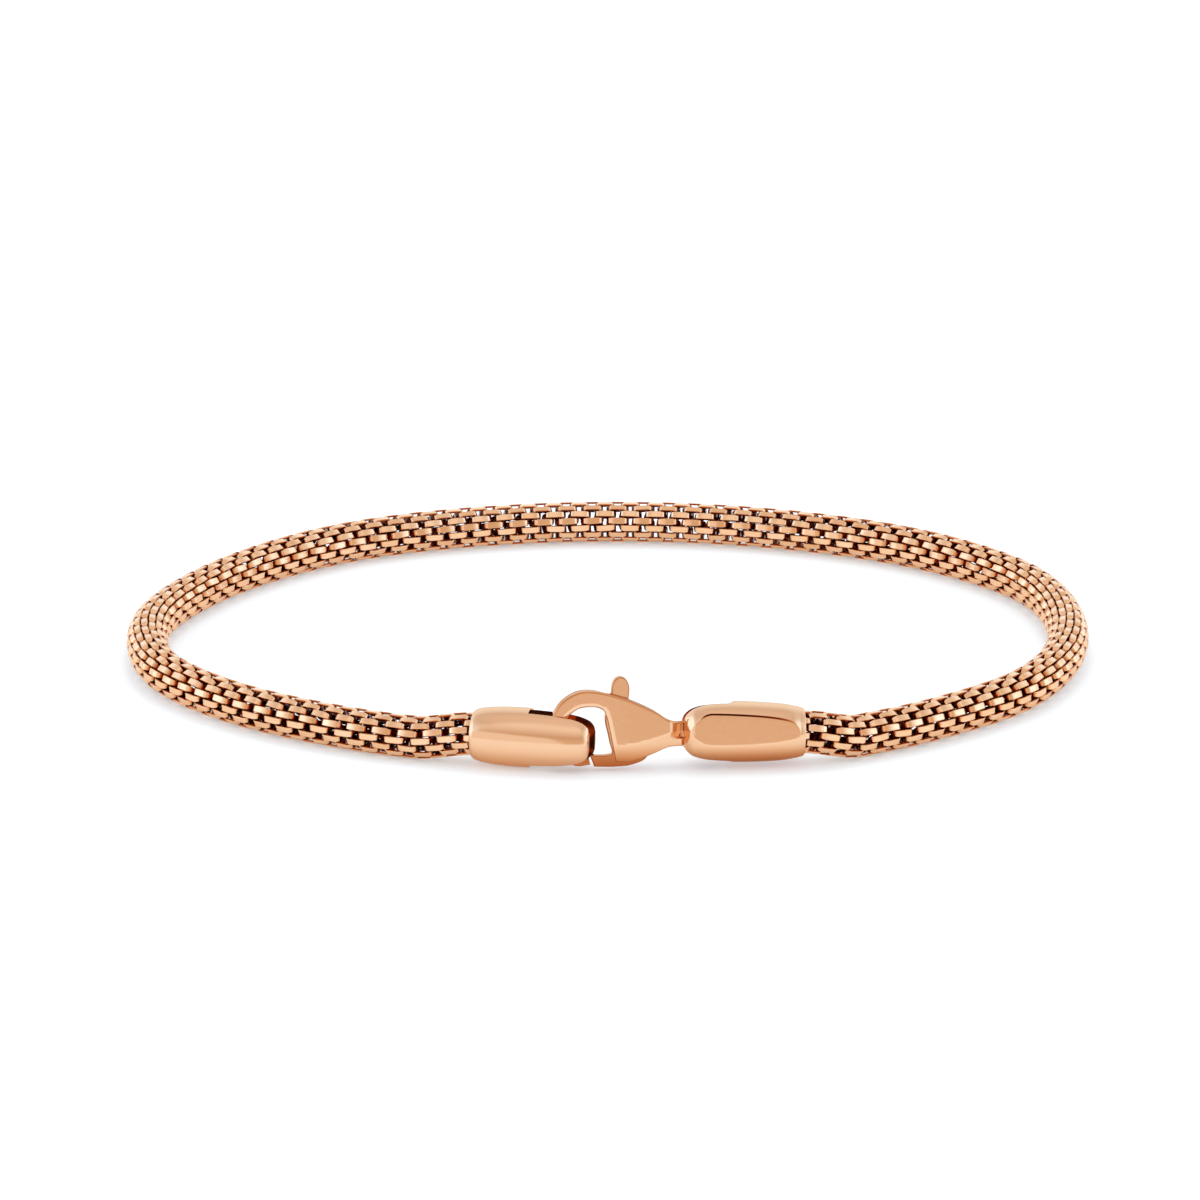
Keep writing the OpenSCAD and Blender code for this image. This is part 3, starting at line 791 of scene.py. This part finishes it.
def plate_shell(outline, half, rim):
    """A flat plate with rounded edges. Its outline is drawn in by rim * (1 - cos) while it rises by
    rim * sin, on both sides."""
    after = np.roll(outline, -1, axis=0)
    ahead = unit(after - np.roll(outline, 1, axis=0))
    area = np.sum(outline[:, 0] * after[:, 1] - outline[:, 1] * after[:, 0])
    inward = np.c_[-ahead[:, 1], ahead[:, 0]] * np.sign(area)
    bend = np.radians(np.linspace(0, 90, LEVER_POINTS))
    rings = []
    for b in np.r_[-bend[::-1], bend]:
        at = outline + inward * rim * (1 - math.cos(b))
        y = math.copysign(half - rim, b) + rim * math.sin(b) if b else 0.0
        rings.append(np.c_[at[:, 0], np.full(len(at), y), at[:, 1]])
    # Painted shade on the rounded rim, darkest next to the flat faces
    dark = np.full((len(rings) - 1, len(outline)), RIM_PAINTED_SHADE)
    dark[[0, -1]] = EDGE_PAINTED_SHADE
    shell = Shell()
    shell.grid(np.stack(rings), wrap=True, hollow=dark)
    shell.cap(rings[0])
    shell.cap(rings[-1], flip=True)
    return shell


def lever_mesh():
    """The lever: gate bar, arm and trigger in one flat plate."""
    trigger = np.c_[LEVER_TRIGGER[:, 0] * CLASP_REACH,
                    BODY_TOP * CLASP_H + LEVER_TRIGGER[:, 1] * TRIGGER_H]
    outline = np.vstack([curve(trigger, TRIGGER_STEP), curve(clasp_size(LEVER_BACK), LEVER_STEP),
                         curve(clasp_size(LEVER_FRONT), LEVER_STEP)])
    return plate_shell(outline, LEVER_T / 2, LEVER_ROUND).mesh("clasp_lever_polished", in_clasp)


# Materials

def feed(tree, socket, value):
    """Joins an input to another node's output, or sets it to a value."""
    if isinstance(value, bpy.types.NodeSocket):
        tree.links.new(value, socket)
    else:
        socket.default_value = value


def node(tree, kind, *first, **values):
    """A new node with its first inputs, and then any property or input by its name, in which
    underscores stand for spaces."""
    made = tree.nodes.new(kind)
    for key, value in values.items():
        if hasattr(made, key):
            setattr(made, key, value)
        else:
            feed(tree, made.inputs[key.replace("_", " ")], value)
    for socket, value in zip(made.inputs, first):
        feed(tree, socket, value)
    return made


def eased(tree, value, start, end, most=1.0):
    """Runs smoothly from 0 to the most as a value runs from start to end."""
    made = node(tree, "ShaderNodeMapRange", value, start, end, interpolation_type="SMOOTHSTEP",
                To_Max=most)
    return made.outputs["Result"]


# Sockets of a mix of colours: the two colours and the result
MIX_FIRST, MIX_SECOND, MIX_RESULT = 6, 7, 2


def blended(tree, share, first, second):
    """The second colour over the first by a share."""
    mix = node(tree, "ShaderNodeMix", share, data_type="RGBA")
    feed(tree, mix.inputs[MIX_FIRST], first)
    feed(tree, mix.inputs[MIX_SECOND], second)
    return mix.outputs[MIX_RESULT]


def ramp(tree, value, stops):
    """A colour ramp over a value, from stops of place and colour."""
    made = node(tree, "ShaderNodeValToRGB", value)
    marks = made.color_ramp.elements
    while len(marks) < len(stops):
        marks.new(0.5)
    for mark, (at, colour) in zip(marks, stops):
        mark.position = at
        mark.color = colour
    return made.outputs["Color"]


BLACK = (0.0, 0.0, 0.0, 1.0)
ROSE_GOLD = (0.87, 0.52, 0.31, 1.0)
PIN_GOLD = (0.78, 0.44, 0.27, 1.0)
# Tint of the metal where it is seen edge on, and that of the wire
EDGE_TINT = (0.90, 0.76, 0.62, 1.0)
WIRE_EDGE_TINT = (1.0, 0.95, 0.90, 1.0)
# The height, in metres, below which the metal gets a painted reflection of its own shadow on the
# floor
PAINTED_FLOOR_SHADOW_HEIGHT = 0.0022
# What the deepest painted shade adds to the colour's power, and how much of the colour is lost there
PAINTED_SHADE_POWER = 4.0
PAINTED_SHADE_FADE = 0.86
# Height of the grain in metres, on the cast pieces and on the wire
GRAIN_HEIGHT = 0.00002
WIRE_GRAIN_HEIGHT = 0.00003
# The wire's grain: scale along and round it, strength, and the roughness that it moves between
WIRE_GRAIN_SCALE = (1.2, 22.0, 1.0)
WIRE_GRAIN = 0.25
WIRE_ROUGHNESS = (0.12, 0.22)
# The wire's colours along the grain's values, and how far a link's tone moves it between them
LINK_TONE = 0.10
WIRE_COLOURS = [(0.25, (0.87, 0.49, 0.26, 1.0)), (0.80, (0.98, 0.62, 0.385, 1.0))]


def in_hollows(tree, colour, low=0.0):
    """Base colour that grows deeper and darker with the mesh's share of painted shade, as metal does
    where light reaches it only by way of more metal: its power rises, and then it fades. Metal
    close above the floor has a share of its own, a painted reflection of its shadow there."""
    # Painted shade from the mesh, and below a set height a painted reflection of the floor's shadow
    hollow = node(tree, "ShaderNodeAttribute", attribute_name="hollow")
    place = node(tree, "ShaderNodeTexCoord")
    split = node(tree, "ShaderNodeSeparateXYZ", place.outputs["Object"])
    near = eased(tree, split.outputs["Z"], PAINTED_FLOOR_SHADOW_HEIGHT, 0.0, low)
    share = node(tree, "ShaderNodeMath", hollow.outputs["Fac"], near, operation="MAXIMUM")
    power = node(tree, "ShaderNodeMath", share.outputs["Value"], PAINTED_SHADE_POWER, 1.0,
                 operation="MULTIPLY_ADD")
    deep = node(tree, "ShaderNodeGamma", colour, power.outputs["Value"])
    fade = node(tree, "ShaderNodeMath", share.outputs["Value"], PAINTED_SHADE_FADE, operation="MULTIPLY")
    colour = blended(tree, fade.outputs["Value"], deep.outputs["Color"], BLACK)
    feed(tree, tree.nodes["Principled BSDF"].inputs["Base Color"], colour)


def new_material(name, **values):
    """A material whose shader's inputs have the given values, and its node tree."""
    made = bpy.data.materials.new(name)
    made.use_nodes = True
    inputs = made.node_tree.nodes["Principled BSDF"].inputs
    for key, value in values.items():
        inputs[key.replace("_", " ")].default_value = value
    return made, made.node_tree


def add_grain(tree, noise, smooth, rough, strength, height):
    """Lets noise move the metal's roughness between two values and lift its surface."""
    inputs = tree.nodes["Principled BSDF"].inputs
    span = node(tree, "ShaderNodeMapRange", noise.outputs["Fac"], To_Min=smooth, To_Max=rough)
    feed(tree, inputs["Roughness"], span.outputs["Result"])
    bump = node(tree, "ShaderNodeBump", Strength=strength, Distance=height,
                Height=noise.outputs["Fac"])
    feed(tree, inputs["Normal"], bump.outputs["Normal"])


def metal(name, colour, roughness, spread, grain, grain_scale, low):
    """Polished metal: fine noise moves its roughness by the spread and lifts its surface. Its colour
    has painted shade and a painted reflection of the floor's shadow.
    """
    made, tree = new_material(name, Metallic=1.0, Specular_Tint=EDGE_TINT)
    # Painted shade and a painted reflection of the floor's shadow in the base colour
    in_hollows(tree, colour, low)
    place = node(tree, "ShaderNodeTexCoord")
    noise = node(tree, "ShaderNodeTexNoise", place.outputs["Object"], Scale=grain_scale, Detail=4.0)
    add_grain(tree, noise, roughness - spread, roughness + spread, grain, GRAIN_HEIGHT)
    return made


def woven_metal(name):
    """Drawn flat wire: long fine streaks along the wire, a tone of its own for each link, and painted
    shade inside the tube."""
    made, tree = new_material(name, Metallic=1.0, Specular_Tint=WIRE_EDGE_TINT)
    place = node(tree, "ShaderNodeUVMap", uv_map="wire")
    stretch = node(tree, "ShaderNodeMapping", place.outputs["UV"], Scale=WIRE_GRAIN_SCALE)
    streaks = node(tree, "ShaderNodeTexNoise", stretch.outputs["Vector"], Scale=1.0, Detail=3.0)
    tone = node(tree, "ShaderNodeAttribute", attribute_name="tone")
    mix = node(tree, "ShaderNodeMath", tone.outputs["Fac"], LINK_TONE, streaks.outputs["Fac"],
               operation="MULTIPLY_ADD")
    # Painted shade inside the tube
    in_hollows(tree, ramp(tree, mix.outputs["Value"], WIRE_COLOURS))
    add_grain(tree, streaks, *WIRE_ROUGHNESS, WIRE_GRAIN, WIRE_GRAIN_HEIGHT)
    return made


# Each metal has its own share of a painted reflection of the floor's shadow near the floor
polished = metal("polished_rose_gold", ROSE_GOLD, roughness=0.10, spread=0.03, grain=0.10,
                 grain_scale=3000, low=0.36)
satin = metal("soft_polished_rose_gold", ROSE_GOLD, roughness=0.13, spread=0.03, grain=0.12,
              grain_scale=3000, low=0.10)
pin_gold = metal("pin_rose_gold", PIN_GOLD, roughness=0.30, spread=0.05, grain=0.2,
                 grain_scale=2500, low=0.0)
woven = woven_metal("woven_rose_gold")


# The camera and the stage

VIEW_ELEVATION = math.radians(17.5)
VIEW_DISTANCE = 700.0
LOOK_AT = np.array([-0.07, 2.745, 0.0])
PIXELS_PER_MM = 13.8
PHOTO_PIXELS = 1200
LOOK_AT_PIXEL = (607.0, 640.0)
SENSOR_W = 36.0
# What the camera sees, nearest and farthest, in metres
CLIP = (0.01, 20.0)


def add_camera():
    """The camera at the photograph's angle. It looks at the point that the photograph has in its
    middle, which lies a little left of and above the point the sizes were measured at."""
    right = np.array([1.0, 0.0, 0.0])
    up = np.array([0.0, math.sin(VIEW_ELEVATION), math.cos(VIEW_ELEVATION)])
    ahead = np.array([0.0, math.cos(VIEW_ELEVATION), -math.sin(VIEW_ELEVATION)])
    place = LOOK_AT - ahead * VIEW_DISTANCE
    middle = (LOOK_AT + right * (PHOTO_PIXELS / 2 - LOOK_AT_PIXEL[0]) / PIXELS_PER_MM
              + up * (LOOK_AT_PIXEL[1] - PHOTO_PIXELS / 2) / PIXELS_PER_MM)
    data = bpy.data.cameras.new("camera")
    data.sensor_width = SENSOR_W
    data.lens = PIXELS_PER_MM * VIEW_DISTANCE / PHOTO_PIXELS * SENSOR_W
    data.clip_start, data.clip_end = CLIP
    made = new_object("camera", data)
    back = unit(place - middle)
    across = unit(np.cross([0.0, 0.0, 1.0], back))
    rise = np.cross(back, across)
    turn = np.eye(4)
    turn[:3, 0], turn[:3, 1], turn[:3, 2], turn[:3, 3] = across, rise, back, place * MM
    made.matrix_world = Matrix(turn.tolist())
    bpy.context.scene.camera = made


# The floor: its half size in metres, colour and roughness, and the colour and strength of its glow
FLOOR_HALF = 4.0
FLOOR_WHITE = (0.735, 0.765, 0.775, 1.0)
FLOOR_ROUGHNESS = 0.9
FLOOR_GLOW_TINT = (0.98, 1.0, 1.01, 1.0)
FLOOR_GLOW = 0.35


def add_floor():
    """A plain white floor, a few metres across. It glows a little, like a lit sheet of acrylic, so
    that the shadows on it stay pale."""
    reach = FLOOR_HALF
    mesh = bpy.data.meshes.new("floor")
    mesh.from_pydata([(-reach, -reach, 0), (reach, -reach, 0), (reach, reach, 0), (-reach, reach, 0)],
                     [], [(0, 1, 2, 3)])
    white = new_material("white_floor", Base_Color=FLOOR_WHITE, Roughness=FLOOR_ROUGHNESS,
                         Specular_IOR_Level=0.0, Emission_Color=FLOOR_GLOW_TINT,
                         Emission_Strength=FLOOR_GLOW)[0]
    mesh.materials.append(white)
    made = new_object("floor", mesh)


# Colour of the studio by the sine of the height above the horizon: on the camera's side, and on
# the other sides
STUDIO_FRONT = [(0.0, (0.84, 0.72, 0.61)), (0.25, (0.78, 0.66, 0.54)), (0.45, (0.71, 0.58, 0.47)),
                (0.57, (0.81, 0.71, 0.64)), (0.68, (0.88, 0.83, 0.80)), (0.87, (1.02, 1.05, 1.06)),
                (0.95, (1.00, 1.02, 1.05)), (1.0, (0.90, 0.86, 0.84))]
STUDIO_BACK = [(0.0, (1.05, 1.28, 1.50)), (0.45, (1.08, 1.30, 1.50)), (0.68, (0.93, 1.02, 1.15)),
               (0.85, (0.78, 0.76, 0.74)), (1.0, (0.90, 0.86, 0.84))]
# Depth of a level direction, -1 towards the camera, where the first gives way to the second
STUDIO_CHANGE = (-0.80, -0.45)
# The level that all these colours are shares of, since a ramp holds none above 1
STUDIO_PEAK = 2.4
# Round patches in it: direction as azimuth and height, radius, softness (degrees), colour
STUDIO_PATCHES = [(-130.0, -2.0, 30.0, 1.5, (1.0, 1.0, 1.0)),
                  (176.0, 14.0, 24.0, 6.0, (1.3, 1.7, 2.2)),
                  (4.0, 14.0, 24.0, 6.0, (1.3, 1.7, 2.2))]
# The light: its place and the side of its square in metres, and its power in watts
LIGHT_PLACE = (0.02, 0.12, 0.5)
LIGHT_SIZE = 0.25
LIGHT_POWER = 0.35


def of_peak(colour):
    """A studio colour as shares of the studio's peak."""
    return (*(level / STUDIO_PEAK for level in colour), 1.0)


def add_world():
    """A pale studio round the object: a cool white behind, a warm grey room on the camera's side, a
    white card at the left, and a bright round patch at each end."""
    world = bpy.data.worlds.new("studio")
    world.use_nodes = True
    tree = world.node_tree
    back = tree.nodes["Background"]
    view = node(tree, "ShaderNodeTexCoord").outputs["Generated"]
    split = node(tree, "ShaderNodeSeparateXYZ", view)
    level = node(tree, "ShaderNodeVectorMath", view, (1, 1, 0), operation="MULTIPLY")
    bearing = node(tree, "ShaderNodeVectorMath", level.outputs["Vector"], operation="NORMALIZE")
    depth = node(tree, "ShaderNodeSeparateXYZ", bearing.outputs["Vector"])
    front = eased(tree, depth.outputs["Y"], *STUDIO_CHANGE)
    colours = (ramp(tree, split.outputs["Z"], [(at, of_peak(colour)) for at, colour in stops])
               for stops in (STUDIO_FRONT, STUDIO_BACK))
    colour = blended(tree, front, *colours)
    for azimuth, height, radius, soft, tone in STUDIO_PATCHES:
        a, h = math.radians(azimuth), math.radians(height)
        towards = (math.cos(a) * math.cos(h), math.sin(a) * math.cos(h), math.sin(h))
        near = node(tree, "ShaderNodeVectorMath", view, towards, operation="DOT_PRODUCT")
        edge = eased(tree, near.outputs["Value"], math.cos(math.radians(radius + soft)),
                     math.cos(math.radians(radius - soft)))
        colour = blended(tree, edge, colour, of_peak(tone))
    feed(tree, back.inputs["Color"], colour)
    feed(tree, back.inputs["Strength"], STUDIO_PEAK)
    bpy.context.scene.world = world


def add_light(name, place, size, power):
    """A square soft light that faces the middle of the bracelet."""
    data = bpy.data.lights.new(name, "AREA")
    data.size = size
    data.energy = power
    made = new_object(name, data)
    made.location = place
    to_middle = unit(-np.array(place, dtype=float))
    made.rotation_euler = (math.acos(-to_middle[2]), 0,
                           math.atan2(to_middle[1], to_middle[0]) - math.pi / 2)
    made.visible_glossy = False


def main():
    """The stage, and then each piece of the bracelet."""
    add_camera()
    add_floor()
    add_world()
    add_light("soft_light_above", LIGHT_PLACE, LIGHT_SIZE, LIGHT_POWER)
    bpy.context.scene.view_settings.view_transform = "Standard"

    line = rope_line()
    rows = int(round(runs(line)[-1] / ROW_GAP))
    half = rows // 2
    woven_piece("woven_tube_left", line, 0, half, rows, LEFT_SEED, woven)
    woven_piece("woven_tube_right", line, half, rows, rows, RIGHT_SEED, woven)

    shell = cap_shell(CATCH_PROFILE, CATCH_SLOT_W, CATCH_SLOT_LEN)
    catch_cap = shell.mesh("catch_cap_polished", in_catch_cap)
    add_piece(catch_cap, "root", ["catch_cap"], satin, bevel=CAP_BEVEL)
    shell = cap_shell(CLASP_PROFILE, CLASP_SLOT_W, CLASP_SLOT_LEN, FACET, REAR_DROP)
    clasp_cap = shell.mesh("clasp_cap_polished", in_clasp_cap)
    add_piece(clasp_cap, "root", ["clasp_cap"], polished, bevel=CAP_BEVEL)
    add_piece(clasp_mesh(), "clasp", ["clasp_body"], polished)
    add_piece(lever_mesh(), "lever", ["clasp_lever"], polished)
    for name in ("catch_pin", "clasp_pin", "lever_rivet"):
        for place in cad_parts[name].material_slots:
            place.material = pin_gold


main()
